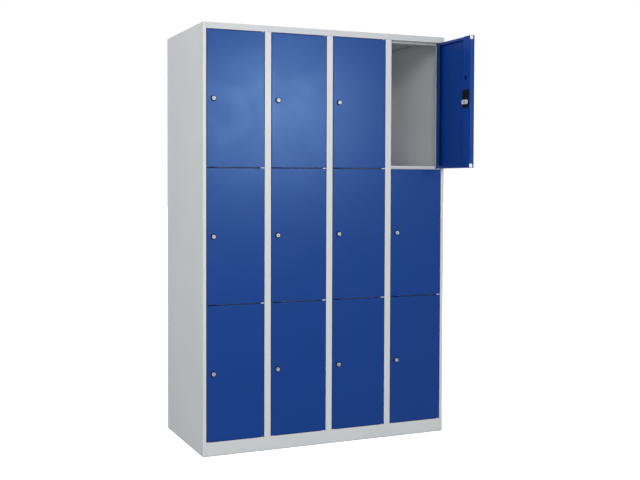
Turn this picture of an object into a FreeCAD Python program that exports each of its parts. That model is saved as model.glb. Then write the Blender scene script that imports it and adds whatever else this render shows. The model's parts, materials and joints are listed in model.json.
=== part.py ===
"""Bank of coin operated lockers: four columns of three compartments in folded, spot-welded sheet.

Frame: +X to the right seen from the front, +Y to the back, +Z up. The origin is the centre of the
footprint on the floor. Doors hang on pivot pins at their right-hand edge; the top right-hand door
stands open at a right angle and the others are shut. Lengths are in millimetres.
"""
import FreeCAD, Part
import os
import Sketcher
from FreeCAD import Placement, Rotation, Vector

DRIVING_SIZES = (
    ("cabinet_width", "1200"),
    ("cabinet_depth", "500"),
    ("cabinet_height", "1850"),
    ("column_count", "4"),
    ("row_count", "3"),
    ("sheet", "0.8"),
    ("bend_radius", "0.7"),
    ("stile_width", "30"),
    ("rail_height", "27"),
    ("plinth_height", "60"),
    ("stop_recess", "22"),
    ("stop_height", "13.5"),
    ("top_stop_height", "9.5"),
    ("lock_stop_width", "13"),
    ("hinge_stop_width", "17"),
    ("rear_flange", "15"),
    ("shelf_half_face", "14"),
    ("shelf_lip", "12"),
    ("bearer_width", "40"),
    ("door_side_gap", "2"),
    ("door_end_gap", "2"),
    ("door_hinge_depth", "14"),
    ("door_lock_depth", "20"),
    ("door_hinge_lip", "25"),
    ("door_end_lip", "12"),
    ("door_channel", "54"),
    ("door_fold_gap", "0.3"),
    ("door_rim_radius", "1.4"),
    ("pivot_inset", "8"),
    ("pivot_setback", "5"),
    ("pin_radius", "2.5"),
    ("pin_clearance", "0.05"),
    ("pin_reach", "10"),
    ("pin_head_radius", "3.4"),
    ("washer_radius", "4.8"),
    ("washer_thick", "1.5"),
    ("lug_width", "15"),
    ("lug_thick", "3"),
    ("spare_slot_length", "18"),
    ("lock_inset", "30"),
    ("lock_barrel_radius", "8.25"),
    ("lock_neck_radius", "11"),
    ("lock_rosette_radius", "12.2"),
    ("lock_rosette_thick", "2.2"),
    ("lock_protrusion", "8"),
    ("lock_spindle_radius", "6"),
    ("case_edge_gap", "11.8"),
    ("case_width", "40"),
    ("case_below", "24"),
    ("case_above", "55"),
    ("case_proud", "5"),
    ("coin_slot_length", "27"),
    ("coin_slot_width", "3.2"),
    ("coin_slot_above", "36"),
    ("cam_half_length", "17"),
    ("cam_half_height", "9.5"),
    ("cam_tongue_reach", "24"),
    ("cam_tongue_half_height", "8"),
    ("cam_thick", "2.5"),
    ("cam_gap", "0.3"),
    ("cam_hub_round", "6"),
    ("cam_tip_round", "3"),
    ("cam_screw_radius", "4.5"),
    ("cam_screw_height", "1.8"),
    ("barrel_round", "0.8"),
    ("barrel_groove_outer", "6"),
    ("barrel_groove_inner", "5.4"),
    ("barrel_groove_depth", "0.5"),
    ("key_slot_half_width", "1.4"),
    ("key_slot_half_height", "3.6"),
    ("key_slot_depth", "5"),
    ("rosette_round", "1.2"),
    ("case_round", "1.5"),
    ("keyhole_above", "110"),
    ("keyhole_shift", "5"),
    ("keyhole_radius", "7.5"),
    ("keyhole_slot_half_width", "4.5"),
    ("keyhole_slot_drop", "14"),
    ("anchor_spacing", "300"),
    ("anchor_radius", "4.5"),
    ("anchor_below_top", "80"),
    ("open_angle", "90"),
)

ROWS = (1, 2, 3)          # row 1 is the top one
COLUMNS = (1, 2, 3, 4)    # column 1 is the left-hand one
OPEN_DOOR = (1, 4)        # row and column of the door that stands open
POSITION_TOLERANCE = 1e-4

doc = FreeCAD.newDocument("CoinLocker")
sheet_of_sizes = doc.addObject("Spreadsheet::Sheet", "Sizes")
for number, (alias, text) in enumerate(DRIVING_SIZES, start=1):
    sheet_of_sizes.set("A%d" % number, alias)
    sheet_of_sizes.set("B%d" % number, text)
    sheet_of_sizes.setAlias("B%d" % number, alias)
doc.recompute()


# ---------------------------------------------------------------------------------------------
# Sizes that carry the expression they are worked out with
# ---------------------------------------------------------------------------------------------

class Size:
    """A number together with the spreadsheet expression that gives it."""

    def __init__(self, value, text):
        self.value = value
        self.text = text

    def __add__(self, other):
        other = as_size(other)
        return Size(self.value + other.value, "(%s + %s)" % (self.text, other.text))

    def __sub__(self, other):
        other = as_size(other)
        return Size(self.value - other.value, "(%s - %s)" % (self.text, other.text))

    def __mul__(self, other):
        other = as_size(other)
        return Size(self.value * other.value, "(%s * %s)" % (self.text, other.text))

    def __truediv__(self, other):
        other = as_size(other)
        return Size(self.value / other.value, "(%s / %s)" % (self.text, other.text))

    def __neg__(self):
        return self * -1


def as_size(number):
    """The number itself if it is a Size already, else a constant Size."""
    if isinstance(number, Size):
        return number
    return Size(float(number), "(%.4f)" % number)


def size(alias):
    """The spreadsheet cell with this alias."""
    return Size(float(sheet_of_sizes.get(alias)), "<<Sizes>>.%s" % alias)


def bind(thing, prop, amount):
    """Bind a property of a document object to the expression of a Size."""
    thing.setExpression(prop, as_size(amount).text)


SHEET = size("sheet")
LEFT = -size("cabinet_width") / 2
RIGHT = size("cabinet_width") / 2
FRONT = -size("cabinet_depth") / 2
BACK = size("cabinet_depth") / 2
TOP = size("cabinet_height")
HALF_STILE = size("stile_width") / 2
COLUMN_PITCH = size("cabinet_width") / size("column_count")
OPENING_TOP = TOP - size("rail_height")
OPENING_BOTTOM = size("plinth_height")
ROW_PITCH = (OPENING_TOP - OPENING_BOTTOM) / size("row_count")
STOP_PLANE = FRONT + size("stop_recess")
STOP_TOP = OPENING_TOP - size("top_stop_height")
STOP_BOTTOM = OPENING_BOTTOM + size("stop_height")
BACK_PANEL_INNER = BACK - SHEET * 2
PIVOT_Y = FRONT + size("pivot_setback")
DOOR_WIDTH = COLUMN_PITCH - size("stile_width") - size("door_side_gap") * 2
DOOR_HEIGHT = ROW_PITCH - size("door_end_gap") * 2


def column_left(column):
    """X of the left-hand boundary of a column."""
    return LEFT + COLUMN_PITCH * (column - 1)


def pivot_x(column):
    """X of the pivot axis of a column's doors, near the column's right-hand stile."""
    return column_left(column + 1) - HALF_STILE - size("door_side_gap") - size("pivot_inset")


def row_bottom(row):
    """Z of the lower boundary of a row, halfway down the gap between two doors."""
    return OPENING_TOP - ROW_PITCH * row


# ---------------------------------------------------------------------------------------------
# Sketches and features
# ---------------------------------------------------------------------------------------------

PLAN, ELEVATION, SECTION = "XY_Plane", "XZ_Plane", "YZ_Plane"
AXES_OF_PLANE = {PLAN: (0, 1, 2), ELEVATION: (0, 2, 1), SECTION: (1, 2, 0)}


def new_body(name):
    """A PartDesign body whose label is the node's name."""
    body = doc.addObject("PartDesign::Body", name)
    body.Label = name
    return body


def new_sketch(body, plane, offset, polygons=(), circles=()):
    """A sketch of closed polygons and circles on one of the body's own planes.

    The offset is the plane's own coordinate: Z of a plan, Y of an elevation, X of a section.
    """
    sketch = body.newObject("Sketcher::SketchObject", "Sketch")
    support = [part for part in body.Origin.OriginFeatures if part.Role == plane][0]
    sketch.AttachmentSupport = (support, [""])
    sketch.MapMode = "FlatFace"
    offset = as_size(offset)
    bind(sketch, "AttachmentOffset.Base.z", -offset if plane == ELEVATION else offset)
    for points in polygons:
        draw_polygon(sketch, points)
    for centre, radius in circles:
        draw_circle(sketch, centre, radius)
    return sketch


def place_point(sketch, geometry, vertex, point):
    """Hold a point of the sketch at its two bound distances from the sketch's origin."""
    for kind, amount in zip(("DistanceX", "DistanceY"), point):
        amount = as_size(amount)
        rule = Sketcher.Constraint(kind, -1, 1, geometry, vertex, amount.value)
        index = sketch.addConstraint(rule)
        sketch.setExpression("Constraints[%d]" % index, amount.text)


def draw_polygon(sketch, points):
    """A closed polygon through the points."""
    corners = [Vector(as_size(x).value, as_size(y).value, 0) for x, y in points]
    count = len(corners)
    edges = [Part.LineSegment(corners[i], corners[(i + 1) % count]) for i in range(count)]
    first = len(sketch.Geometry)
    sketch.addGeometry(edges, False)
    joins = [Sketcher.Constraint("Coincident", first + i, 2, first + (i + 1) % count, 1)
             for i in range(count)]
    sketch.addConstraint(joins)
    for i, point in enumerate(points):
        place_point(sketch, first + i, 1, point)


def draw_circle(sketch, centre, radius):
    """A circle with a bound centre and radius."""
    radius = as_size(radius)
    middle = Vector(as_size(centre[0]).value, as_size(centre[1]).value, 0)
    curve = sketch.addGeometry(Part.Circle(middle, Vector(0, 0, 1), radius.value), False)
    place_point(sketch, curve, 3, centre)
    index = sketch.addConstraint(Sketcher.Constraint("Radius", curve, radius.value))
    sketch.setExpression("Constraints[%d]" % index, radius.text)


def rectangle(x_low, x_high, y_low, y_high):
    """The four corners of a rectangle."""
    return ((x_low, y_low), (x_high, y_low), (x_high, y_high), (x_low, y_high))


def pad(body, sketch, length, backwards=False):
    """Pad along the sketch's normal: +Z from a plan, -Y from an elevation, +X from a section."""
    feature = body.newObject("PartDesign::Pad", "Pad")
    feature.Profile = sketch
    feature.Reversed = backwards
    bind(feature, "Length", length)
    doc.recompute()
    return feature


def pocket(body, sketch, length, backwards=False):
    """Cut against the sketch's normal: -Z from a plan, +Y from an elevation, -X from a section."""
    before = body.Shape.Volume
    feature = body.newObject("PartDesign::Pocket", "Pocket")
    feature.Profile = sketch
    feature.Reversed = backwards
    bind(feature, "Length", length)
    doc.recompute()
    if not body.Shape.Volume < before:
        raise RuntimeError("%s: a pocket cut nothing" % body.Label)
    return feature


def round_edges(body, radius, wanted):
    """Round the edges of the body that the function wanted picks."""
    tip = body.Tip
    names = ["Edge%d" % number for number, edge in enumerate(tip.Shape.Edges, start=1) if wanted(edge)]
    if not names:
        raise RuntimeError("%s: no edge to round" % body.Label)
    feature = body.newObject("PartDesign::Fillet", "Fillet")
    feature.Base = (tip, names)
    bind(feature, "Radius", radius)
    doc.recompute()
    return feature


def stands_on(edge, plane, points):
    """Whether the edge runs straight out of the plane above one of the points."""
    first, second, along = AXES_OF_PLANE[plane]
    ends = [vertex.Point for vertex in edge.Vertexes]
    if len(ends) != 2 or abs(ends[0][along] - ends[1][along]) < POSITION_TOLERANCE:
        return False
    for x, y in points:
        misses = [max(abs(end[first] - x), abs(end[second] - y)) for end in ends]
        if max(misses) < POSITION_TOLERANCE:
            return True
    return False


def folded_sheet(body, plane, offset, path, thick, length):
    """A sheet folded at right angles and drawn out along the plane's normal.

    The path is one face of the sheet; the thickness lies to its left, or to its right when it is
    negative. Every fold has the bend radius inside, and that and the sheet outside.
    """
    steps = []
    for (x_start, y_start), (x_end, y_end) in zip(path, path[1:]):
        run = Vector(as_size(x_end).value - as_size(x_start).value,
                     as_size(y_end).value - as_size(y_start).value, 0)
        steps.append(run.normalize())
    other_face = []
    for i, (x, y) in enumerate(path):
        beside = steps[max(i - 1, 0):i + 1]
        other_face.append((x + thick * sum(-step.y for step in beside),
                           y + thick * sum(step.x for step in beside)))
    outer, inner = [], []
    for i in range(1, len(path) - 1):
        turn = steps[i - 1].cross(steps[i]).z
        face, other = [(x.value, y.value) for x, y in (path[i], other_face[i])]
        path_is_outside = turn * thick.value > 0
        outer.append(face if path_is_outside else other)
        inner.append(other if path_is_outside else face)
    outline = tuple(path) + tuple(reversed(other_face))
    pad(body, new_sketch(body, plane, offset, [outline]), length)
    bend = size("bend_radius")
    round_edges(body, bend + SHEET, lambda edge: stands_on(edge, plane, outer))
    round_edges(body, bend, lambda edge: stands_on(edge, plane, inner))


def place(body, x=0, y=0, z=0, turn=None):
    """Bind the body's placement to its place in the cabinet, turned about Z if asked."""
    for axis, amount in zip("xyz", (x, y, z)):
        bind(body, "Placement.Base.%s" % axis, amount)
    if turn is not None:
        body.Placement = Placement(Vector(), Rotation(Vector(0, 0, 1), turn.value))
        bind(body, "Placement.Rotation.Angle", turn)
    doc.recompute()


# ---------------------------------------------------------------------------------------------
# Cabinet
# ---------------------------------------------------------------------------------------------

def side_wall(name, side, stop_width):
    """Wall folded into a rear flange, a front stile, its return and the door's stop flange.

    The side is -1 for the left-hand wall and 1 for the right-hand one.
    """
    body = new_body(name)
    outside = RIGHT * side
    reveal = outside - HALF_STILE * side
    stop_edge = reveal - stop_width * side
    path = ((outside - size("rear_flange") * side, BACK), (outside, BACK), (outside, FRONT),
            (reveal, FRONT), (reveal, STOP_PLANE), (stop_edge, STOP_PLANE))
    folded_sheet(body, PLAN, 0, path, SHEET * -side, TOP - SHEET)
    low, high = (reveal, stop_edge) if side < 0 else (stop_edge, reveal)
    ends = (rectangle(low, high, -1, STOP_BOTTOM), rectangle(low, high, STOP_TOP, TOP))
    pocket(body, new_sketch(body, ELEVATION, STOP_PLANE - 1, ends), 3)
    place(body)
    return body


def stile(name, x):
    """Hat section between two columns, with a stop flange for the doors on each side."""
    body = new_body(name)
    left_stop = -HALF_STILE - size("hinge_stop_width")
    right_stop = HALF_STILE + size("lock_stop_width")
    path = ((left_stop, STOP_PLANE), (-HALF_STILE, STOP_PLANE), (-HALF_STILE, FRONT),
            (HALF_STILE, FRONT), (HALF_STILE, STOP_PLANE), (right_stop, STOP_PLANE))
    folded_sheet(body, PLAN, OPENING_BOTTOM, path, SHEET, OPENING_TOP - OPENING_BOTTOM)
    ends = (rectangle(left_stop - 1, right_stop + 1, OPENING_BOTTOM - 1, STOP_BOTTOM),
            rectangle(left_stop - 1, right_stop + 1, STOP_TOP, OPENING_TOP + 1))
    pocket(body, new_sketch(body, ELEVATION, STOP_PLANE, ends), 2)
    place(body, x=x)
    return body


def partition(name, x):
    """Upright wall between two columns, welded behind a stile and to the back panel."""
    body = new_body(name)
    face = SHEET / 2
    behind_stop = STOP_PLANE + SHEET
    before_back = BACK_PANEL_INNER - SHEET
    path = ((face - size("stile_width"), behind_stop), (face, behind_stop),
            (face, before_back), (face + size("rear_flange"), before_back))
    folded_sheet(body, PLAN, STOP_BOTTOM, path, SHEET, TOP - SHEET - STOP_BOTTOM)
    place(body, x=x)
    return body


def pivot_openings(slot_rear):
    """Plan outlines of the pin holes, and of the spare slots for doors hung the other way.

    The slots run from just in front of the pin holes back to slot_rear.
    """
    half_slot = size("spare_slot_length") / 2
    holes, slots = [], []
    for column in COLUMNS:
        holes.append(((pivot_x(column), PIVOT_Y), size("pin_radius")))
        spare_x = column_left(column) + HALF_STILE + size("door_side_gap") + size("pivot_inset")
        slots.append(rectangle(spare_x - half_slot, spare_x + half_slot,
                               PIVOT_Y - size("pin_radius"), slot_rear))
    return holes, slots


def roof_panel():
    """Roof, front rail and top stop flange, folded from one sheet."""
    body = new_body("roof_panel")
    path = ((BACK, TOP - size("rear_flange")), (BACK, TOP), (FRONT, TOP), (FRONT, OPENING_TOP),
            (STOP_PLANE, OPENING_TOP), (STOP_PLANE, STOP_TOP))
    folded_sheet(body, SECTION, LEFT, path, SHEET, size("cabinet_width"))
    corners = (rectangle(LEFT - 1, LEFT + HALF_STILE, STOP_TOP - 1, TOP - SHEET),
               rectangle(RIGHT - HALF_STILE, RIGHT + 1, STOP_TOP - 1, TOP - SHEET))
    pocket(body, new_sketch(body, ELEVATION, FRONT - 1, corners), size("cabinet_depth") + 2)
    holes, slots = pivot_openings(STOP_PLANE + SHEET)
    pocket(body, new_sketch(body, PLAN, OPENING_TOP + SHEET, slots, holes), SHEET * 3)
    place(body)
    return body


def base_panel():
    """Plinth face, bottom stop flange and the floor of the lowest compartments, in one sheet."""
    body = new_body("base_panel")
    path = ((FRONT + size("rear_flange"), as_size(0)), (FRONT, as_size(0)),
            (FRONT, OPENING_BOTTOM), (STOP_PLANE, OPENING_BOTTOM), (STOP_PLANE, STOP_BOTTOM),
            (BACK_PANEL_INNER, STOP_BOTTOM))
    width = size("cabinet_width") - SHEET * 2
    folded_sheet(body, SECTION, LEFT + SHEET, path, -SHEET, width)
    behind_stop = STOP_PLANE + SHEET
    corners = (rectangle(LEFT, LEFT + HALF_STILE, FRONT - 1, behind_stop),
               rectangle(RIGHT - HALF_STILE, RIGHT, FRONT - 1, behind_stop))
    pocket(body, new_sketch(body, PLAN, STOP_BOTTOM + 1, corners), STOP_BOTTOM + 2)
    holes, slots = pivot_openings(PIVOT_Y + size("pin_radius"))
    pocket(body, new_sketch(body, PLAN, OPENING_BOTTOM, slots, holes), SHEET * 2)
    place(body)
    return body


def plinth_rear():
    """Channel under the rear edge of the floor."""
    body = new_body("plinth_rear")
    lip = BACK - size("rear_flange")
    path = ((lip, as_size(0)), (BACK_PANEL_INNER, as_size(0)),
            (BACK_PANEL_INNER, STOP_BOTTOM - SHEET), (lip, STOP_BOTTOM - SHEET))
    width = size("cabinet_width") - SHEET * 2
    folded_sheet(body, SECTION, LEFT + SHEET, path, SHEET, width)
    place(body)
    return body


def bearer(x):
    """Channel that runs from front to back under the floor, below a partition."""
    body = doc.addObject("PartDesign::Body", "bearer")
    half = size("bearer_width") / 2
    height = STOP_BOTTOM - SHEET
    path = ((-half, height), (-half, as_size(0)), (half, as_size(0)), (half, height))
    rear = BACK - size("rear_flange")
    front = STOP_PLANE + SHEET + size("bend_radius")
    folded_sheet(body, ELEVATION, rear, path, SHEET, rear - front)
    place(body, x=x)
    return body


def plinth_bearers():
    """The three floor bearers as one node of separate solids."""
    bearers = doc.addObject("Part::Compound", "plinth_bearers")
    bearers.Label = "plinth_bearers"
    bearers.Links = [bearer(column_left(column + 1)) for column in COLUMNS[:-1]]
    doc.recompute()
    return bearers


def back_panel():
    """Flat back, held inside the rear flanges, with two holes for wall anchors."""
    body = new_body("back_panel")
    inset = SHEET + size("bend_radius")
    outline = rectangle(LEFT + inset, RIGHT - inset, as_size(0), TOP - inset)
    height = TOP - size("anchor_below_top")
    half_spacing = size("anchor_spacing") / 2
    anchors = [((half_spacing * side, height), size("anchor_radius")) for side in (-1, 1)]
    pad(body, new_sketch(body, ELEVATION, BACK - SHEET, [outline], anchors), SHEET)
    place(body)
    return body


def shelf(name, row, column):
    """Shelf between two rows: front face, bottom lip, plate and rear flange from one sheet."""
    body = new_body(name)
    half_face = size("shelf_half_face")
    rear = BACK_PANEL_INNER - SHEET
    path = ((STOP_PLANE + size("shelf_lip"), -half_face), (STOP_PLANE, -half_face),
            (STOP_PLANE, half_face), (rear, half_face), (rear, half_face - size("rear_flange")))
    left = size("bend_radius") + (SHEET if column == COLUMNS[0] else SHEET / 2)
    right = COLUMN_PITCH - size("bend_radius") - (SHEET if column == COLUMNS[-1] else SHEET / 2)
    folded_sheet(body, SECTION, left, path, -SHEET, right - left)
    behind_stop = STOP_PLANE + SHEET
    lock_side = HALF_STILE + size("lock_stop_width")
    hinge_side = COLUMN_PITCH - HALF_STILE - size("hinge_stop_width")
    corners = (rectangle(-1, lock_side, FRONT, behind_stop),
               rectangle(hinge_side, COLUMN_PITCH + 1, FRONT, behind_stop + SHEET))
    pocket(body, new_sketch(body, PLAN, half_face + 1, corners), half_face * 2 + 2)
    place(body, x=column_left(column), z=row_bottom(row))
    return body


# ---------------------------------------------------------------------------------------------
# Pivots
# ---------------------------------------------------------------------------------------------

def cylinder(radius, height, x, z):
    """Upright cylinder on a column's pivot axis."""
    thing = doc.addObject("Part::Cylinder", "cylinder")
    bind(thing, "Radius", radius)
    bind(thing, "Height", height)
    for axis, amount in zip("xyz", (x, PIVOT_Y, z)):
        bind(thing, "Placement.Base.%s" % axis, amount)
    return thing


def fused(name, solids):
    """One object of several solids, joined where they touch."""
    group = doc.addObject("Part::MultiFuse", name)
    group.Label = name
    group.Shapes = solids
    doc.recompute()
    return group


def cut_through(name, solids, holes):
    """A group of solids with the holes taken out of it."""
    cut = doc.addObject("Part::Cut", name)
    cut.Label = name
    cut.Base = fused(name + "_solids", solids)
    cut.Tool = fused(name + "_holes", holes)
    doc.recompute()
    return cut


def pivot_pins():
    """Headed pins at the top and bottom of each column, and plain ones between its doors."""
    radius, reach = size("pin_radius"), size("pin_reach")
    solids = []
    for column in COLUMNS:
        x = pivot_x(column)
        solids.append(cylinder(radius, reach + SHEET, x, OPENING_TOP - reach))
        solids.append(cylinder(size("pin_head_radius"), SHEET, x, OPENING_TOP + SHEET))
        solids.append(cylinder(radius, reach + SHEET, x, OPENING_BOTTOM - SHEET))
        solids.append(cylinder(size("pin_head_radius"), SHEET, x, OPENING_BOTTOM - SHEET * 2))
        for row in ROWS[:-1]:
            solids.append(cylinder(radius, reach * 2, x, row_bottom(row) - reach))
    return fused("pivot_pins", solids)


def pivot_washers():
    """Plastic washers between the frame and the end doors of each column."""
    thick = size("washer_thick")
    solids, holes = [], []
    for column in COLUMNS:
        x = pivot_x(column)
        for z in (OPENING_TOP - thick, OPENING_BOTTOM):
            solids.append(cylinder(size("washer_radius"), thick, x, z))
            holes.append(cylinder(size("pin_radius"), thick, x, z))
    return cut_through("pivot_washers", solids, holes)


def pivot_lugs():
    """Plastic lugs that stand out of the stiles between two doors and hold the shared pins."""
    thick, width = size("lug_thick"), size("lug_width")
    depth = size("stop_recess") - SHEET
    solids, holes = [], []
    for column in COLUMNS:
        x = pivot_x(column)
        for row in ROWS[:-1]:
            plate = doc.addObject("Part::Box", "lug_plate")
            bind(plate, "Length", width)
            bind(plate, "Width", depth)
            bind(plate, "Height", thick)
            bind(plate, "Placement.Base.x", x - width / 2)
            bind(plate, "Placement.Base.y", STOP_PLANE - depth)
            bind(plate, "Placement.Base.z", row_bottom(row) - thick / 2)
            solids.append(plate)
            holes.append(cylinder(size("pin_radius"), thick, x, row_bottom(row) - thick / 2))
    return cut_through("pivot_lugs", solids, holes)


# ---------------------------------------------------------------------------------------------
# Doors and locks, each drawn about its own pivot axis: the door runs from there towards -X,
# its outside faces -Y and its bottom edge is at Z = 0
# ---------------------------------------------------------------------------------------------

DOOR_FRONT = -size("pivot_setback")
HINGE_EDGE = size("pivot_inset")
FREE_EDGE = HINGE_EDGE - DOOR_WIDTH
HINGE_REAR = DOOR_FRONT + size("door_hinge_depth")
LOCK_REAR = DOOR_FRONT + size("door_lock_depth")
CHANNEL_EDGE = FREE_EDGE + size("door_channel")
LOCK_X = FREE_EDGE + size("lock_inset")
LOCK_Z = DOOR_HEIGHT / 2
CASE_LEFT = FREE_EDGE + size("case_edge_gap")
CASE_RIGHT = CASE_LEFT + size("case_width")
CASE_REAR = LOCK_REAR + size("case_proud")
CAM_FRONT = CASE_REAR + size("cam_gap")
CAM_REAR = CAM_FRONT + size("cam_thick")


def hang(body, row, column):
    """Put a door piece on its pivot, turned if this door stands open."""
    turn = size("open_angle") if (row, column) == OPEN_DOOR else None
    place(body, pivot_x(column), PIVOT_Y, row_bottom(row) + size("door_end_gap"), turn)


def on_rim(edge):
    """Whether an edge of the plain leaf is a fold line along its top or its bottom."""
    box = edge.BoundBox
    at_end = [z for z in (0, DOOR_HEIGHT.value)
              if abs(box.ZMin - z) < POSITION_TOLERANCE and abs(box.ZMax - z) < POSITION_TOLERANCE]
    if not at_end:
        return False
    on_front = abs(box.YMax - DOOR_FRONT.value) < POSITION_TOLERANCE
    on_lip = abs(box.YMin - HINGE_REAR.value) < POSITION_TOLERANCE
    return box.XLength > size("door_channel").value and (on_front or on_lip)


def door_leaf(name, row, column):
    """Door pan: skin, hinge fold with its lip, end folds, and the channel that holds the lock."""
    body = new_body(name)
    path = ((HINGE_EDGE - size("door_hinge_lip"), HINGE_REAR), (HINGE_EDGE, HINGE_REAR),
            (HINGE_EDGE, DOOR_FRONT), (FREE_EDGE, DOOR_FRONT), (FREE_EDGE, LOCK_REAR),
            (CHANNEL_EDGE, LOCK_REAR), (CHANNEL_EDGE, DOOR_FRONT + SHEET + size("door_fold_gap")))
    folded_sheet(body, PLAN, 0, path, -SHEET, DOOR_HEIGHT)
    end_plate = ((FREE_EDGE + SHEET, DOOR_FRONT + SHEET), (HINGE_EDGE - SHEET, DOOR_FRONT + SHEET),
                 (HINGE_EDGE - SHEET, HINGE_REAR - SHEET), (CHANNEL_EDGE, HINGE_REAR - SHEET),
                 (CHANNEL_EDGE - SHEET, HINGE_REAR - SHEET), (CHANNEL_EDGE - SHEET, LOCK_REAR - SHEET),
                 (FREE_EDGE + SHEET, LOCK_REAR - SHEET))
    for height in (as_size(0), DOOR_HEIGHT - SHEET):
        pad(body, new_sketch(body, PLAN, height, [end_plate]), SHEET)
    lip = size("door_end_lip")
    lip_left, lip_right = CHANNEL_EDGE, HINGE_EDGE - size("door_hinge_lip")
    lips = (rectangle(lip_left, lip_right, 0, lip),
            rectangle(lip_left, lip_right, DOOR_HEIGHT - lip, DOOR_HEIGHT))
    pad(body, new_sketch(body, ELEVATION, HINGE_REAR, lips), SHEET)
    round_edges(body, size("door_rim_radius"), on_rim)
    pin_hole = ((as_size(0), as_size(0)), size("pin_radius") + size("pin_clearance"))
    pocket(body, new_sketch(body, PLAN, DOOR_HEIGHT + 1, circles=[pin_hole]), DOOR_HEIGHT + 2)
    neck_hole = ((LOCK_X, LOCK_Z), size("lock_neck_radius"))
    pocket(body, new_sketch(body, ELEVATION, DOOR_FRONT, circles=[neck_hole]), SHEET * 2)
    behind = LOCK_REAR - SHEET * 2
    case_hole = rectangle(CASE_LEFT, CASE_RIGHT, LOCK_Z - size("case_below"),
                          LOCK_Z + size("case_above"))
    key_z = LOCK_Z + size("keyhole_above")
    key_x = LOCK_X + size("keyhole_shift")
    keyhole = ((key_x, key_z), size("keyhole_radius"))
    pocket(body, new_sketch(body, ELEVATION, behind, [case_hole], [keyhole]), SHEET * 3)
    half_slot = size("keyhole_slot_half_width")
    key_slot = rectangle(key_x - half_slot, key_x + half_slot,
                         key_z - size("keyhole_slot_drop"), key_z)
    pocket(body, new_sketch(body, ELEVATION, behind, [key_slot]), SHEET * 3)
    hang(body, row, column)
    return body


def lock_case(name, row, column):
    """Coin lock housing inside the door, with its neck through the skin and the outer rosette."""
    body = new_body(name)
    case = rectangle(CASE_LEFT, CASE_RIGHT, LOCK_Z - size("case_below"),
                     LOCK_Z + size("case_above"))
    inner_skin = DOOR_FRONT + SHEET
    pad(body, new_sketch(body, ELEVATION, CASE_REAR, [case]), CASE_REAR - inner_skin)
    axis = (LOCK_X, LOCK_Z)
    bore = size("lock_barrel_radius") + size("pin_clearance")
    neck = [(axis, size("lock_neck_radius")), (axis, bore)]
    pad(body, new_sketch(body, ELEVATION, inner_skin, circles=neck), SHEET)
    rosette = [(axis, size("lock_rosette_radius")), (axis, bore)]
    pad(body, new_sketch(body, ELEVATION, DOOR_FRONT, circles=rosette), size("lock_rosette_thick"))
    spindle = [(axis, size("lock_spindle_radius") + size("pin_clearance"))]
    pocket(body, new_sketch(body, ELEVATION, DOOR_FRONT, circles=spindle), CASE_REAR - DOOR_FRONT + 1)
    slot_z = LOCK_Z + size("coin_slot_above")
    half_length, half_width = size("coin_slot_length") / 2, size("coin_slot_width") / 2
    middle = CASE_LEFT + size("case_width") / 2
    coin_slot = rectangle(middle - half_length, middle + half_length,
                          slot_z - half_width, slot_z + half_width)
    slot_depth = size("case_proud") * 2
    pocket(body, new_sketch(body, ELEVATION, CASE_REAR - slot_depth, [coin_slot]), slot_depth + 1)

    def rosette_rim(edge):
        """The outer front edge of the rosette."""
        box = edge.BoundBox
        front = DOOR_FRONT.value - size("lock_rosette_thick").value
        return abs(box.YMax - front) < POSITION_TOLERANCE and box.XLength > 2 * bore.value + 1

    round_edges(body, size("rosette_round"), rosette_rim)

    def case_rim(edge):
        """The long rear edges of the housing that stands proud of the channel."""
        box = edge.BoundBox
        rear = box.YMin > CASE_REAR.value - POSITION_TOLERANCE
        return rear and max(box.XLength, box.ZLength) > size("case_width").value - 1

    round_edges(body, size("case_round"), case_rim)
    hang(body, row, column)
    return body


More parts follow.
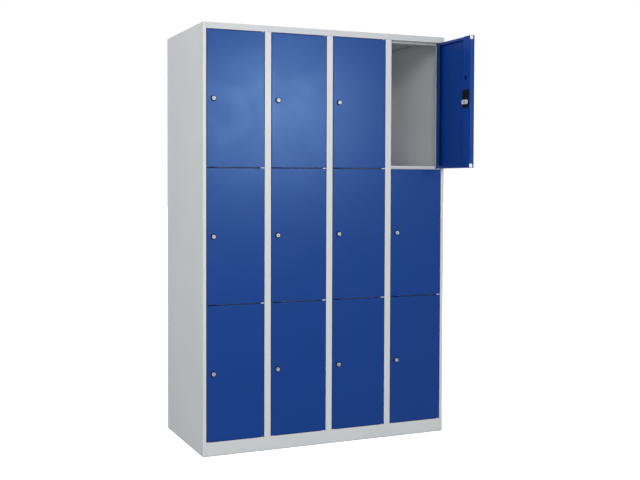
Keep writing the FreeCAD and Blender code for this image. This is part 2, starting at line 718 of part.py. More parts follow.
def lock_cylinder(name, row, column):
    """Key barrel, spindle and cam, which turn together in the housing."""
    body = new_body(name)
    axis = (LOCK_X, LOCK_Z)
    barrel_rear = DOOR_FRONT + size("cam_gap")
    barrel = [(axis, size("lock_barrel_radius"))]
    barrel_front = DOOR_FRONT - size("lock_protrusion")
    pad(body, new_sketch(body, ELEVATION, barrel_rear, circles=barrel), barrel_rear - barrel_front)

    def barrel_rim(edge):
        """The front edge of the barrel."""
        box = edge.BoundBox
        return abs(box.YMax - barrel_front.value) < POSITION_TOLERANCE

    round_edges(body, size("barrel_round"), barrel_rim)
    spindle = [(axis, size("lock_spindle_radius"))]
    pad(body, new_sketch(body, ELEVATION, CAM_FRONT, circles=spindle), CAM_FRONT - barrel_rear)
    hub, half = size("cam_half_length"), size("cam_half_height")
    tongue, narrow = size("cam_tongue_reach"), size("cam_tongue_half_height")
    cam = ((LOCK_X - hub, LOCK_Z - half), (LOCK_X + hub, LOCK_Z - half),
           (LOCK_X + hub, LOCK_Z - narrow), (LOCK_X + tongue, LOCK_Z - narrow),
           (LOCK_X + tongue, LOCK_Z + narrow), (LOCK_X + hub, LOCK_Z + narrow),
           (LOCK_X + hub, LOCK_Z + half), (LOCK_X - hub, LOCK_Z + half))
    pad(body, new_sketch(body, ELEVATION, CAM_REAR, [cam]), size("cam_thick"))
    corners = [(as_size(x).value, as_size(z).value) for x, z in (cam[0], cam[7])]
    round_edges(body, size("cam_hub_round"), lambda edge: stands_on(edge, ELEVATION, corners))
    tips = [(as_size(x).value, as_size(z).value) for x, z in (cam[3], cam[4])]
    round_edges(body, size("cam_tip_round"), lambda edge: stands_on(edge, ELEVATION, tips))
    head = size("cam_screw_height")
    screw_head = [(axis, size("cam_screw_radius"))]
    pad(body, new_sketch(body, ELEVATION, CAM_REAR + head, circles=screw_head), head)
    groove = [(axis, size("barrel_groove_outer")), (axis, size("barrel_groove_inner"))]
    pocket(body, new_sketch(body, ELEVATION, barrel_front, circles=groove),
           size("barrel_groove_depth"))
    half_width, half_height = size("key_slot_half_width"), size("key_slot_half_height")
    key_slot = rectangle(LOCK_X - half_width, LOCK_X + half_width,
                         LOCK_Z - half_height, LOCK_Z + half_height)
    pocket(body, new_sketch(body, ELEVATION, barrel_front, [key_slot]), size("key_slot_depth"))
    hang(body, row, column)
    return body


# ---------------------------------------------------------------------------------------------
# Assembly and export
# ---------------------------------------------------------------------------------------------

def build_all():
    """Every node of the locker bank, in the order it would be put together."""
    nodes = [side_wall("left_side_wall", -1, size("lock_stop_width")),
             side_wall("right_side_wall", 1, size("hinge_stop_width")),
             roof_panel(), base_panel(), plinth_rear(), plinth_bearers(), back_panel()]
    for column in COLUMNS[:-1]:
        x = column_left(column + 1)
        nodes.append(stile("stile_%d" % column, x))
        nodes.append(partition("partition_%d" % column, x))
    for column in COLUMNS:
        nodes.append(shelf("shelf_upper_c%d" % column, 1, column))
        nodes.append(shelf("shelf_lower_c%d" % column, 2, column))
    nodes += [pivot_pins(), pivot_washers(), pivot_lugs()]
    for row in ROWS:
        for column in COLUMNS:
            place_name = "r%dc%d" % (row, column)
            nodes.append(door_leaf("door_leaf_" + place_name, row, column))
            nodes.append(lock_case("lock_case_" + place_name, row, column))
            nodes.append(lock_cylinder("lock_cylinder_" + place_name, row, column))
    return nodes


def check(nodes):
    """Stop if anything in the document failed or a node's shape is missing or not valid."""
    for thing in doc.Objects:
        if "Invalid" in thing.State or "Error" in thing.State:
            raise RuntimeError("%s failed: %s" % (thing.Label, thing.State))
    for node in nodes:
        if node.Shape.isNull() or not node.Shape.isValid() or not node.Shape.Solids:
            raise RuntimeError("%s has no valid shape" % node.Label)


all_nodes = build_all()
doc.recompute()
check(all_nodes)
os.makedirs("parts", exist_ok=True)
for node in all_nodes:
    node.Shape.exportStep("parts/%s.step" % node.Label)
print("%d nodes written" % len(all_nodes))
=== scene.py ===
import json
import math

import bmesh
import bpy
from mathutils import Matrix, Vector

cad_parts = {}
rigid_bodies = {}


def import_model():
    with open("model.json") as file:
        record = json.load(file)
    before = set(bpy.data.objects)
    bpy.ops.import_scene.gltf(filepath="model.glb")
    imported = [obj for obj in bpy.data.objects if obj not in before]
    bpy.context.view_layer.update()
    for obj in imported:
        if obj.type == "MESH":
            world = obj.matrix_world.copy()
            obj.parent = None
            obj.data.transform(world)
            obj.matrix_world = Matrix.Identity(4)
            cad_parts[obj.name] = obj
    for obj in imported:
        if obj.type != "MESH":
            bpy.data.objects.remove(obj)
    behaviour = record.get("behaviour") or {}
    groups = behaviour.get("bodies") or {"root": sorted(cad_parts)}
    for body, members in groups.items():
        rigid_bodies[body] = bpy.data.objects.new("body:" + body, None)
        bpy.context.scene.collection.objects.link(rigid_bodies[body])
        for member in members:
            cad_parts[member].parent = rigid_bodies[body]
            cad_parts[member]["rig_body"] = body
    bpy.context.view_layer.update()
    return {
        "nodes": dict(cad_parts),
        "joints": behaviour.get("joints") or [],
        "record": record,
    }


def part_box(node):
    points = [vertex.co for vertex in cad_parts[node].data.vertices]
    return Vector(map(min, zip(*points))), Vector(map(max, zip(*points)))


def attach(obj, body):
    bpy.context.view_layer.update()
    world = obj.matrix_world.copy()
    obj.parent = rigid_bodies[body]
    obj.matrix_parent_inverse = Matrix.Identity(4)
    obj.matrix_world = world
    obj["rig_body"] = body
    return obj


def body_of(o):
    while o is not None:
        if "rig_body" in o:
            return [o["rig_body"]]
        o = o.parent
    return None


# Looks of a coin operated locker bank: four columns of three lockers in folded sheet steel, with
# powder coated doors, black lock housings, nickel plated key barrels and white corner buffers.
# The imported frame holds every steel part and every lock, and each of them keeps its shape here.
# This script gives each node its material, adds the soft plastic buffers on the lock edge of the
# doors, and sets a plain studio with the camera in front, to the left of the cabinet.
# Lengths are in metres, in the frame's own axes: +X right, +Y back, +Z up.

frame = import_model()

MM = 0.001
UP = Vector((0, 0, 1))

# Corner buffers: height, how far each covers the two faces of the lock edge, thickness, distance
# from the door's end, how far it sinks into the sheet, and the radius of the door's own bend.
BUFFER_HEIGHT = 17 * MM
BUFFER_ON_EDGE = 12 * MM
BUFFER_ON_REAR = 5 * MM
BUFFER_THICK = 1.3 * MM
BUFFER_END_GAP = 1.2 * MM
BUFFER_SINK = 0.05 * MM
DOOR_CORNER_RADIUS = 1.5 * MM

# The dome of a buffer: rings from rim to middle, steps round it, and how square its outline is.
BUFFER_RINGS = 9
BUFFER_STEPS = 40
BUFFER_POWER = 4.5

# Linear colours of the finishes, with full opacity. The roof has a share of the frame's grey, a
# painted shade that stands in for the shading of its front rail; the sheen tints what the doors
# reflect, and zinc and nickel each lie between two tones.
WHITE = (1, 1, 1, 1)
FRAME_GREY = (0.570, 0.592, 0.606, 1)
ROOF_SHADE_SHARE = 0.92
DOOR_BLUE = (0.002, 0.033, 0.210, 1)
DOOR_SHEEN = (0.37, 0.65, 0.97, 1)
PLASTIC_BLACK = (0.006, 0.006, 0.007, 1)
PLASTIC_WHITE = (0.78, 0.79, 0.80, 1)
ZINC = ((0.55, 0.57, 0.60, 1), (0.68, 0.67, 0.63, 1))
NICKEL = ((0.52, 0.54, 0.56, 1), (0.60, 0.62, 0.65, 1))
CAST_METAL = (0.62, 0.62, 0.63, 1)
SCREW_METAL = (0.34, 0.34, 0.35, 1)
GROOVE_SHADE = (0.004, 0.004, 0.004, 1)

# Most of a noise's values lie between the first two. Flecks change between the other two, which
# makes them sharper.
NOISE_LOW = 0.3
NOISE_HIGH = 0.7
FLECK_LOW = 0.35
FLECK_HIGH = 0.65

# How far the patterns of two pieces can be shifted apart.
PATTERN_SHIFT = 17.0

# Likeness of the rounded and the true normal above which a face counts as flat and below which it
# counts as an edge, and the samples that find edges and crevices.
LIKENESS_FLAT = 0.99
LIKENESS_SHARP = 0.80
SHADER_SAMPLES = 4

# Painted shade in narrow gaps between painted pieces: how far the paint looks for a facing piece,
# the open share at which a gap is as dark as it gets, how much of the dark shade colour it takes,
# and that colour on the frame and on the doors.
GAP_SHADE_REACH = 18 * MM
GAP_SHADE_SHUT = 0.20
GAP_SHADE_MOST = 0.97
FRAME_GAP_SHADE = (0.004, 0.012, 0.040, 1)
DOOR_GAP_SHADE = (0.0002, 0.0033, 0.021, 1)

# Paint: depth of its orange peel and of the sheet's slow waves, width of the edge where thin paint
# and a painted highlight make it paler and how much it pales, how far from a corner the painted
# shade reaches, the open shares of the view between which it darkens, how much it covers, and how
# far the roughness varies.
PEEL_DEPTH = 0.02 * MM
WAVE_DEPTH = 0.5 * MM
EDGE_PAINT_AND_HIGHLIGHT = 0.8 * MM
EDGE_PAINT_AND_HIGHLIGHT_PALE = 0.35
CORNER_SHADE_REACH = 12 * MM
CORNER_SHADE_FREE = 0.75
CORNER_SHADE_SHUT = 0.15
CORNER_SHADE_MOST = 0.30
PAINT_VARIES = 0.025

# Plastic: depth of its grain, width of a worn edge and how much it pales, how far light scatters
# inside, and how far the roughness varies.
GRAIN_DEPTH = 0.03 * MM
PLASTIC_EDGE = 0.5 * MM
PLASTIC_PALE = 0.4
PLASTIC_SCATTER = 3 * MM
PLASTIC_VARIES = 0.08

# Zinc: depth of its spangle, and its roughness from one tone to the other.
SPANGLE_DEPTH = 0.02 * MM
ZINC_ROUGH = (0.28, 0.45)

# Lock metal: spacing and depth of the turning marks, how far they waver, and the roughness from
# the bottom to the top of a mark.
RING_PITCH = 0.35 * MM
RING_DEPTH = 0.008 * MM
RING_WAVER = 1.6
RING_ROUGH = (0.42, 0.54)

# Painted shade in the grooves and slots of the lock metal: its reach, the open shares of the view
# between which it darkens, and how much it covers.
GROOVE_SHADE_REACH = 3 * MM
GROOVE_SHADE_FREE = 0.70
GROOVE_SHADE_SHUT = 0.25
GROOVE_SHADE_MOST = 0.97

# Cam of a lock: how far behind the joint's point its metal begins, the depth over which it does,
# the radii between which its darker screw ends, and how metallic the nickel and the cam look.
CAM_BEHIND = 12 * MM
CAM_FADE = 1 * MM
SCREW_RADIUS = 4.3 * MM
SCREW_EDGE = 4.6 * MM
NICKEL_METALLIC = 0.60
CAM_METALLIC = 0.35

# Camera: in front of the cabinet and to its left, turned towards it and almost level. Shifting
# the view does the rest of the framing.
CAMERA_PLACE = Vector((-1.8731, -3.8030, 1.1670))
CAMERA_YAW = math.radians(20.324)
CAMERA_PITCH = math.radians(-1.562)
CAMERA_LENS = 50.195
CAMERA_SENSOR = 36.0
CAMERA_SHIFT = (0.168, -0.05)

# Floor: its half side, its glow near the cabinet, and the distances between which the glow grows
# to full white.
FLOOR_HALF = 40.0
FLOOR_GLOW = 0.55
FLOOR_NEAR = 0.9
FLOOR_FAR = 3.5

# Strength of the white surroundings as the camera sees them, and as they light the cabinet.
WORLD_SEEN = 1.0
WORLD_FILL = 0.417

# A panel ahead on the right that shows in glossy reflections and gives no diffuse light: name,
# place, the point it faces, width, height and watts.
MIRROR_PANEL = ("mirror_panel", (1.25, -3.8, 1.80), (-0.2, -0.25, 1.2), 1.0, 0.6, 38)

# Soft boxes that light the cabinet from all sides, with the same six values each.
SOFT_BOXES = (
    ("front_high", (-0.6, -4.5, 3.2), (0, -0.25, 1.2), 2.5, 1.5, 12),
    ("front_low", (-0.4, -4.5, 0.9), (0, -0.25, 0.9), 2.5, 1.5, 48),
    ("left_high", (-4.0, -0.4, 2.5), (-0.6, 0, 1.2), 1.6, 1.6, 52),
    ("front_left_high", (-2.6, -4.0, 2.2), (0, -0.2, 1.2), 1.2, 1.2, 10),
    ("front_left_top", (-2.6, -3.4, 3.6), (0.2, -0.2, 1.2), 1.4, 1.4, 20),
    ("compartment_fill", (-1.4, -4.0, 3.2), (0.5, 0, 1.4), 1.2, 1.2, 46),
    ("front_left_low", (-2.6, -4.0, 0.9), (0, -0.2, 1.2), 1.2, 1.2, 14),
    ("right_fill", (4.2, 0.35, 2.0), (0.6, 0, 1.0), 2.0, 2.0, 75),
    ("rear_fill", (0.8, 4.6, 2.0), (0, 0.25, 1.0), 2.5, 1.5, 95),
    ("roof_fill", (0, 0.9, 4.6), (0, 0.3, 1.85), 1.0, 1.0, 55),
)


# ---------------------------------------------------------------------------------------------
# Material graphs
# ---------------------------------------------------------------------------------------------

class Graph:
    """One material and the short names by which its nodes are added and joined."""

    def __init__(self, name):
        self.material = bpy.data.materials.new(name)
        self.material.use_nodes = True
        self.nodes = self.material.node_tree.nodes
        self.links = self.material.node_tree.links
        self.shader = self.nodes["Principled BSDF"]

    def feed(self, socket, value):
        """Join a socket to another one, or set it to a constant."""
        if isinstance(value, bpy.types.NodeSocket):
            self.links.new(value, socket)
        else:
            socket.default_value = value

    def add(self, kind, inputs, **settings):
        """A node with its settings made and its inputs, given by name or number, joined or set."""
        node = self.nodes.new(kind)
        for key, value in settings.items():
            setattr(node, key, value)
        for key, value in inputs.items():
            self.feed(node.inputs[key], value)
        return node

    def paint(self, **inputs):
        """Join or set inputs of the surface shader; underscores stand for spaces."""
        for key, value in inputs.items():
            self.feed(self.shader.inputs[key.replace("_", " ")], value)

    def place(self):
        """Coordinates in metres that stay with the piece, shifted at random from piece to piece."""
        coordinates = self.add("ShaderNodeTexCoord", {}).outputs["Object"]
        chance = self.add("ShaderNodeObjectInfo", {}).outputs["Random"]
        shift = self.math("MULTIPLY", chance, PATTERN_SHIFT)
        return self.add("ShaderNodeVectorMath", {0: coordinates, 1: shift}).outputs["Vector"]

    def noise(self, vector, scale, detail=2.0, roughness=0.5):
        """Soft random values, finer with a larger scale."""
        inputs = {"Vector": vector, "Scale": scale, "Detail": detail, "Roughness": roughness}
        return self.add("ShaderNodeTexNoise", inputs).outputs[0]

    def math(self, operation, first, second=0.0):
        """One step of arithmetic on one or two values."""
        return self.add("ShaderNodeMath", {0: first, 1: second}, operation=operation).outputs[0]

    def span(self, value, low, high, to_low, to_high):
        """value between low and high, mapped to the range from to_low to to_high."""
        inputs = {"Value": value, "From Min": low, "From Max": high,
                  "To Min": to_low, "To Max": to_high}
        return self.add("ShaderNodeMapRange", inputs).outputs[0]

    def mix(self, share, first, second):
        """A colour between first and second."""
        inputs = {0: share, 6: first, 7: second}
        return self.add("ShaderNodeMix", inputs, data_type="RGBA").outputs[2]

    def patches(self, noise, first, second):
        """Two colours in soft patches."""
        return self.mix(self.span(noise, NOISE_LOW, NOISE_HIGH, 0.0, 1.0), first, second)

    def drift(self, noise, middle, reach):
        """A value that moves up and down by reach about its middle."""
        return self.span(noise, NOISE_LOW, NOISE_HIGH, middle - reach, middle + reach)

    def bump(self, height, depth, strength, normal=None):
        """A surface direction tilted as if each unit of height stood out by that depth."""
        inputs = {"Height": height, "Distance": depth, "Strength": strength}
        if normal is not None:
            inputs["Normal"] = normal
        return self.add("ShaderNodeBump", inputs).outputs[0]

    def edges(self, radius):
        """1 on the sharp edges of the piece and 0 on its flat faces."""
        inputs = {"Radius": radius}
        rounded = self.add("ShaderNodeBevel", inputs, samples=SHADER_SAMPLES).outputs[0]
        true = self.add("ShaderNodeNewGeometry", {}).outputs["Normal"]
        likeness = self.add("ShaderNodeVectorMath", {0: rounded, 1: true},
                            operation="DOT_PRODUCT").outputs["Value"]
        return self.span(likeness, LIKENESS_FLAT, LIKENESS_SHARP, 0.0, 1.0)

    def crevices(self, distance, free, shut):
        """0 where more than the free share of the view is open, 1 where no more than shut is."""
        inputs = {"Distance": distance}
        occlusion = self.add("ShaderNodeAmbientOcclusion", inputs, samples=SHADER_SAMPLES)
        return self.span(occlusion.outputs["AO"], free, shut, 0.0, 1.0)


def shade(colour, factor):
    """The colour made lighter or darker, with full opacity."""
    return tuple(min(1.0, part * factor) for part in colour[:3]) + (1.0,)


def powder_coat(name, colour, roughness, level, tint, gap_shade_free, gap_shade_colour):
    """Baked powder paint: orange peel, soft cloudiness, edges paled by thin paint and a painted
    highlight, painted shade in corners and near-black painted shade in narrow gaps.
    """
    graph = Graph(name)
    place = graph.place()
    cloud = graph.noise(place, scale=5.0, detail=3.0)
    speckle = graph.noise(place, scale=1400.0, detail=1.0)
    toned = graph.patches(cloud, shade(colour, 0.97), shade(colour, 1.03))
    flecks = graph.span(speckle, FLECK_LOW, FLECK_HIGH, 0.0, 0.5)
    flecked = graph.mix(flecks, toned, shade(colour, 1.06))
    # Paler edges: thin powder paint, and partly a painted highlight along the edge.
    thin_paint_and_highlight = graph.mix(graph.math("MULTIPLY", graph.edges(EDGE_PAINT_AND_HIGHLIGHT), EDGE_PAINT_AND_HIGHLIGHT_PALE),
                      flecked, shade(colour, 1.25))
    # Painted shade: the paint darkens towards 0.62 of its tone in corners and creases that the
    # occlusion finds closed in.
    corners = graph.crevices(CORNER_SHADE_REACH, free=CORNER_SHADE_FREE, shut=CORNER_SHADE_SHUT)
    corner_shaded = graph.mix(graph.math("MULTIPLY", corners, CORNER_SHADE_MOST), thin_paint_and_highlight, shade(colour, 0.62))
    # Painted shade: narrow gaps take a near-black colour, and the same mask also roughens the paint
    # there.
    gap_shade = graph.crevices(GAP_SHADE_REACH, free=gap_shade_free, shut=GAP_SHADE_SHUT)
    gap_shaded = graph.mix(graph.math("MULTIPLY", gap_shade, GAP_SHADE_MOST), corner_shaded, gap_shade_colour)
    gloss = graph.noise(place, scale=9.0, detail=4.0)
    even = graph.drift(gloss, roughness, PAINT_VARIES)
    rough = graph.math("MAXIMUM", even, gap_shade)
    peel = graph.noise(place, scale=420.0, detail=2.0)
    wave = graph.noise(place, scale=3.2, detail=1.0)
    sheet = graph.bump(wave, WAVE_DEPTH, strength=0.2)
    skin = graph.bump(peel, PEEL_DEPTH, strength=0.35, normal=sheet)
    graph.paint(Base_Color=gap_shaded, Roughness=rough, Normal=skin)
    graph.paint(Specular_IOR_Level=level, Specular_Tint=tint)
    return graph.material


def frame_paint(name, share):
    """Light grey powder coat of the cabinet, darkened to a share of its full tone; on the roof that
    darkening is painted shade.
    """
    return powder_coat(name, shade(FRAME_GREY, share), roughness=0.40, level=0.40,
                       tint=WHITE, gap_shade_free=0.45, gap_shade_colour=FRAME_GAP_SHADE)


def door_paint():
    """Deep blue powder coat of the doors."""
    return powder_coat("door_blue_paint", DOOR_BLUE, roughness=0.33, level=0.65,
                       tint=DOOR_SHEEN, gap_shade_free=0.55, gap_shade_colour=DOOR_GAP_SHADE)


def moulded_plastic(name, colour, roughness, grain, level, subsurface):
    """Injection moulded plastic with a spark-eroded grain and a little colour drift."""
    graph = Graph(name)
    place = graph.place()
    cloud = graph.noise(place, scale=60.0, detail=3.0)
    toned = graph.patches(cloud, shade(colour, 0.9), shade(colour, 1.1))
    worn = graph.mix(graph.math("MULTIPLY", graph.edges(PLASTIC_EDGE), PLASTIC_PALE),
                     toned, shade(colour, 1.5))
    fine = graph.noise(place, scale=grain, detail=3.0, roughness=0.7)
    rough = graph.drift(fine, roughness, PLASTIC_VARIES)
    skin = graph.bump(fine, GRAIN_DEPTH, strength=0.5)
    graph.paint(Base_Color=worn, Roughness=rough, Normal=skin)
    graph.paint(Specular_IOR_Level=level)
    graph.paint(Subsurface_Weight=subsurface, Subsurface_Scale=PLASTIC_SCATTER)
    return graph.material


def lock_plastic():
    """Black glass-filled plastic of the lock housings and rosettes."""
    return moulded_plastic("lock_black_plastic", PLASTIC_BLACK, roughness=0.50, grain=2600.0,
                           level=0.15, subsurface=0.0)


def white_nylon():
    """Natural white plastic of the buffers, washers and lugs."""
    return moulded_plastic("white_nylon", PLASTIC_WHITE, roughness=0.42, grain=1800.0,
                           level=0.5, subsurface=0.35)


def zinc_plate():
    """Zinc plated steel pins with a faint spangle."""
    graph = Graph("zinc_plated_steel")
    place = graph.place()
    spangle = graph.noise(place, scale=700.0, detail=4.0, roughness=0.65)
    toned = graph.mix(graph.span(spangle, FLECK_LOW, FLECK_HIGH, 0.0, 1.0), *ZINC)
    rough = graph.span(spangle, NOISE_LOW, NOISE_HIGH, *ZINC_ROUGH)
    graph.paint(Base_Color=toned, Roughness=rough, Metallic=1.0)
    graph.paint(Normal=graph.bump(spangle, SPANGLE_DEPTH, strength=0.3))
    return graph.material


def turned_nickel(name, node, joint):
    """Nickel plate over turned metal: fine rings about the lock's own axis.

    The cam behind the door, which lies more than CAM_BEHIND behind the joint, is satin cast metal
    with a darker screw.
    """
    low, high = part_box(node)
    size = high - low
    centre = Vector(joint["pos_m"]) - low
    across = Vector(1 - abs(part) for part in joint["axis"])
    graph = Graph(name)
    share = graph.add("ShaderNodeTexCoord", {}).outputs["Generated"]
    from_low = graph.add("ShaderNodeVectorMath", {0: share, 1: size},
                         operation="MULTIPLY").outputs["Vector"]
    from_axis = graph.add("ShaderNodeVectorMath", {0: from_low, 1: centre},
                          operation="SUBTRACT").outputs["Vector"]
    ahead = graph.add("ShaderNodeVectorMath", {0: from_axis, 1: Vector(joint["axis"])},
                      operation="DOT_PRODUCT").outputs["Value"]
    cast = graph.span(ahead, -CAM_BEHIND, -CAM_BEHIND - CAM_FADE, 0.0, 1.0)
    flat = graph.add("ShaderNodeVectorMath", {0: from_axis, 1: across},
                     operation="MULTIPLY").outputs["Vector"]
    radius = graph.add("ShaderNodeVectorMath", {0: flat}, operation="LENGTH").outputs["Value"]
    place = graph.place()
    jitter = graph.math("MULTIPLY", graph.noise(place, scale=900.0, detail=2.0), RING_WAVER)
    turns = graph.math("MULTIPLY", radius, 2 * math.pi / RING_PITCH)
    rings = graph.math("SINE", graph.math("ADD", turns, jitter))
    cloud = graph.noise(place, scale=260.0, detail=3.0)
    toned = graph.patches(cloud, *NICKEL)
    screw = graph.math("MULTIPLY", cast, graph.span(radius, SCREW_RADIUS, SCREW_EDGE, 1.0, 0.0))
    satin = graph.mix(cast, toned, CAST_METAL)
    pale = graph.mix(screw, satin, SCREW_METAL)
    # Painted shade: near-black in the grooves and the key slot, where the occlusion finds them
    # closed in.
    closed_grooves = graph.crevices(GROOVE_SHADE_REACH, free=GROOVE_SHADE_FREE, shut=GROOVE_SHADE_SHUT)
    groove_shaded = graph.mix(graph.math("MULTIPLY", closed_grooves, GROOVE_SHADE_MOST), pale, GROOVE_SHADE)
    rough = graph.span(rings, -1.0, 1.0, *RING_ROUGH)
    metal = graph.span(cast, 0.0, 1.0, NICKEL_METALLIC, CAM_METALLIC)
    graph.paint(Base_Color=groove_shaded, Roughness=rough, Metallic=metal)
    graph.paint(Normal=graph.bump(rings, RING_DEPTH, strength=0.35))
    return graph.material


def give_materials():
    """Every CAD node gets the finish of its slot in the record.

    The roof gets a slightly darker grey, a painted shade for its front rail. Key barrels that face
    the same way share one finish.
    """
    finishes = {"frame_grey": frame_paint("frame_grey_paint", 1.0), "door_blue": door_paint(),
                "lock_black": lock_plastic(), "white_plastic": white_nylon(),
                "pin_steel": zinc_plate()}
    lock_joints = {joint["child"]: joint for joint in frame["joints"]}
    turned = {}
    for part in frame["record"]["subparts"]:
        node = frame["nodes"][part["node"]]
        slot = part["material_slot"]
        # Painted shade: the roof takes a darker copy of the frame's grey for its shaded front rail.
        if part["node"] == "roof_panel":
            node.material_slots[0].material = frame_paint("roof_grey_painted_shade", ROOF_SHADE_SHARE)
            continue
        if slot in finishes:
            node.material_slots[0].material = finishes[slot]
            continue
        joint = lock_joints[body_of(node)[0]]
        way = "x" if abs(joint["axis"][0]) > 0.5 else "y"
        if way not in turned:
            turned[way] = turned_nickel("turned_nickel_" + way, part["node"], joint)
        node.material_slots[0].material = turned[way]
    return finishes


# ---------------------------------------------------------------------------------------------
# Corner buffers
# ---------------------------------------------------------------------------------------------

def corner_path(length):
    """Point and outward direction at that length along the lock edge's section.

    The path starts on the edge face, goes round the rear corner and ends on the rear face. The
    first number of each pair is towards the free edge and the second towards the rear.
    """
    straight = BUFFER_ON_EDGE - DOOR_CORNER_RADIUS
    bend = DOOR_CORNER_RADIUS * math.pi / 2
    if length <= straight:
        return (0.0, length - BUFFER_ON_EDGE), (1.0, 0.0)
    if length >= straight + bend:
        return (-DOOR_CORNER_RADIUS - (length - straight - bend), 0.0), (0.0, 1.0)
    angle = (length - straight) / DOOR_CORNER_RADIUS
    outward = (math.cos(angle), math.sin(angle))
    point = tuple((part - 1) * DOOR_CORNER_RADIUS for part in outward)
    return point, outward


def superellipse(angle, power):
    """Point of a unit square with well rounded corners, at that angle round it."""
    def part(value):
        return math.copysign(abs(value) ** (2 / power), value)
    return part(math.cos(angle)), part(math.sin(angle))


def corner_buffer(name, body, corner, free, rear, upward):
    """A soft cap moulded round the rear corner of a door's lock edge, domed and closed."""
    rings, steps, power = BUFFER_RINGS, BUFFER_STEPS, BUFFER_POWER
    straight = BUFFER_ON_EDGE - DOOR_CORNER_RADIUS
    total = straight + DOOR_CORNER_RADIUS * math.pi / 2 + BUFFER_ON_REAR - DOOR_CORNER_RADIUS
    middle = corner + upward * (BUFFER_HEIGHT / 2 + BUFFER_END_GAP)

    def point(along, up, lift):
        (free_part, rear_part), (free_out, rear_out) = corner_path((along + 1) / 2 * total)
        return (middle + UP * (up * BUFFER_HEIGHT / 2)
                + free * (free_part + free_out * lift) + rear * (rear_part + rear_out * lift))

    mesh = bmesh.new()
    outline = [superellipse(2 * math.pi * step / steps, power) for step in range(steps)]

    def dome(height):
        """Rings from the rim to the middle, lifted off the door, and the vertex at the middle."""
        rows = []
        for ring in range(1, rings):
            share = math.cos(math.pi / 2 * ring / rings)
            lift = height * (1 - share ** power) ** (1 / power)
            rows.append([mesh.verts.new(point(along * share, up * share, lift))
                         for along, up in outline])
        return rows, mesh.verts.new(point(0, 0, height))

    rim = [mesh.verts.new(point(along, up, 0)) for along, up in outline]
    for height in (BUFFER_THICK, -BUFFER_SINK):
        rows, top = dome(height)
        for first, second in zip([rim] + rows, rows):
            for step in range(steps):
                after = (step + 1) % steps
                mesh.faces.new((first[step], first[after], second[after], second[step]))
        for step in range(steps):
            mesh.faces.new((rows[-1][step], rows[-1][(step + 1) % steps], top))
    bmesh.ops.recalc_face_normals(mesh, faces=mesh.faces)
    data = bpy.data.meshes.new(name)
    mesh.to_mesh(data)
    mesh.free()
    data.shade_smooth()
    piece = bpy.data.objects.new(name, data)
    bpy.context.scene.collection.objects.link(piece)
    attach(piece, body)
    return piece


def farthest(low, high, direction):
    """The corner of a box that lies farthest that way, with 0 where the direction has no part."""
    def pick(least, most, part):
        if part > 0.5:
            return most
        if part < -0.5:
            return least
        return 0

    return Vector([pick(*values) for values in zip(low, high, direction)])


def door_buffers(plastic):
    """Two buffers on each door, at the top and the bottom of its lock edge."""
    for joint in frame["joints"]:
        if not joint["name"].startswith("lock_turn_"):
            continue
        place = joint["name"].removeprefix("lock_turn_")
        front = Vector(joint["axis"])
        free = front.cross(UP)
        rear = -front
        low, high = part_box("door_leaf_" + place)
        for end, upward in (("top", -UP), ("bottom", UP)):
            corner = farthest(low, high, free + rear - upward)
            piece = corner_buffer(f"corner_buffer_{end}_{place}", "door_" + place,
                                  corner, free, rear, upward)
            piece.data.materials.append(plastic)


# ---------------------------------------------------------------------------------------------
# Studio
# ---------------------------------------------------------------------------------------------

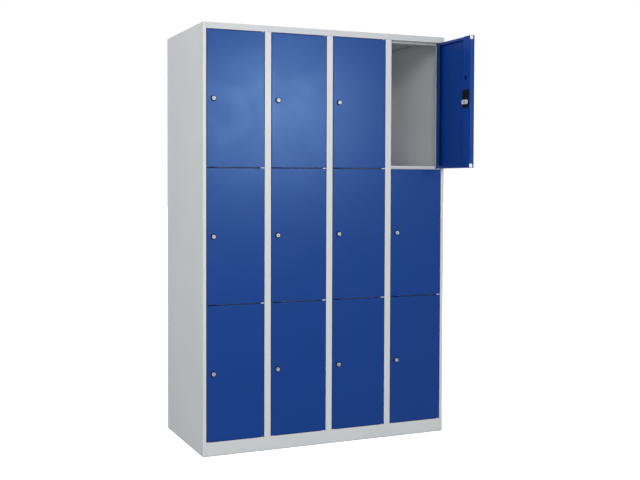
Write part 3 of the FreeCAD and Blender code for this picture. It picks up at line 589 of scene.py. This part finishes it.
def studio_floor():
    """Plain white floor that takes a soft shadow near the cabinet and brightens away from it."""
    graph = Graph("studio_floor_white")
    place = graph.place()
    cloud = graph.noise(place, scale=2.0)
    tone = graph.mix(cloud, shade(WHITE, 0.80), shade(WHITE, 0.84))
    ground = graph.add("ShaderNodeTexCoord", {}).outputs["Object"]
    away = graph.add("ShaderNodeVectorMath", {0: ground}, operation="LENGTH").outputs["Value"]
    glow = graph.span(away, FLOOR_NEAR, FLOOR_FAR, FLOOR_GLOW, 1.0)
    graph.paint(Base_Color=tone, Roughness=0.9, Specular_IOR_Level=0.0)
    graph.paint(Emission_Color=WHITE, Emission_Strength=glow)
    corners = [(x * FLOOR_HALF, y * FLOOR_HALF, 0) for x, y in ((-1, -1), (1, -1), (1, 1), (-1, 1))]
    data = bpy.data.meshes.new("studio_floor")
    data.from_pydata(corners, [], [(0, 1, 2, 3)])
    data.materials.append(graph.material)
    floor = bpy.data.objects.new("studio_floor", data)
    bpy.context.scene.collection.objects.link(floor)
    floor.visible_glossy = False
    floor.visible_diffuse = False


def soft_box(name, place, target, width, height, power, diffuse=True, glossy=False):
    """A rectangular area light that faces a target point, kept out of the camera's sight."""
    data = bpy.data.lights.new(name, "AREA")
    data.shape = "RECTANGLE"
    data.size = width
    data.size_y = height
    data.energy = power
    light = bpy.data.objects.new(name, data)
    light.location = place
    light.rotation_euler = (Vector(target) - Vector(place)).to_track_quat("-Z", "Y").to_euler()
    light.visible_diffuse = diffuse
    light.visible_glossy = glossy
    light.visible_camera = False
    bpy.context.scene.collection.objects.link(light)


def studio_world(seen, fill):
    """White to the camera, and a soft even fill to everything else."""
    world = bpy.data.worlds.new("studio_white")
    bpy.context.scene.world = world
    world.use_nodes = True
    nodes = world.node_tree.nodes
    links = world.node_tree.links
    background = nodes["Background"]
    background.inputs["Color"].default_value = WHITE
    rays = nodes.new("ShaderNodeLightPath")
    strength = nodes.new("ShaderNodeMapRange")
    strength.inputs["To Min"].default_value = fill
    strength.inputs["To Max"].default_value = seen
    links.new(rays.outputs["Is Camera Ray"], strength.inputs["Value"])
    links.new(strength.outputs[0], background.inputs["Strength"])


def studio_lights():
    """The panel that shows in the gloss, and the soft boxes all round that don't."""
    soft_box(*MIRROR_PANEL, diffuse=False, glossy=True)
    for box in SOFT_BOXES:
        soft_box(*box)


def studio_camera():
    """The camera at its place, almost level, so that upright lines stay nearly parallel."""
    data = bpy.data.cameras.new("camera")
    data.sensor_width = CAMERA_SENSOR
    data.lens = CAMERA_LENS
    data.shift_x, data.shift_y = CAMERA_SHIFT
    camera = bpy.data.objects.new("camera", data)
    camera.location = CAMERA_PLACE
    camera.rotation_euler = (math.pi / 2 + CAMERA_PITCH, 0, -CAMERA_YAW)
    bpy.context.scene.collection.objects.link(camera)
    bpy.context.scene.camera = camera


finishes = give_materials()
door_buffers(finishes["white_plastic"])
studio_floor()
studio_world(WORLD_SEEN, WORLD_FILL)
studio_lights()
studio_camera()
bpy.context.scene.view_settings.view_transform = "Standard"
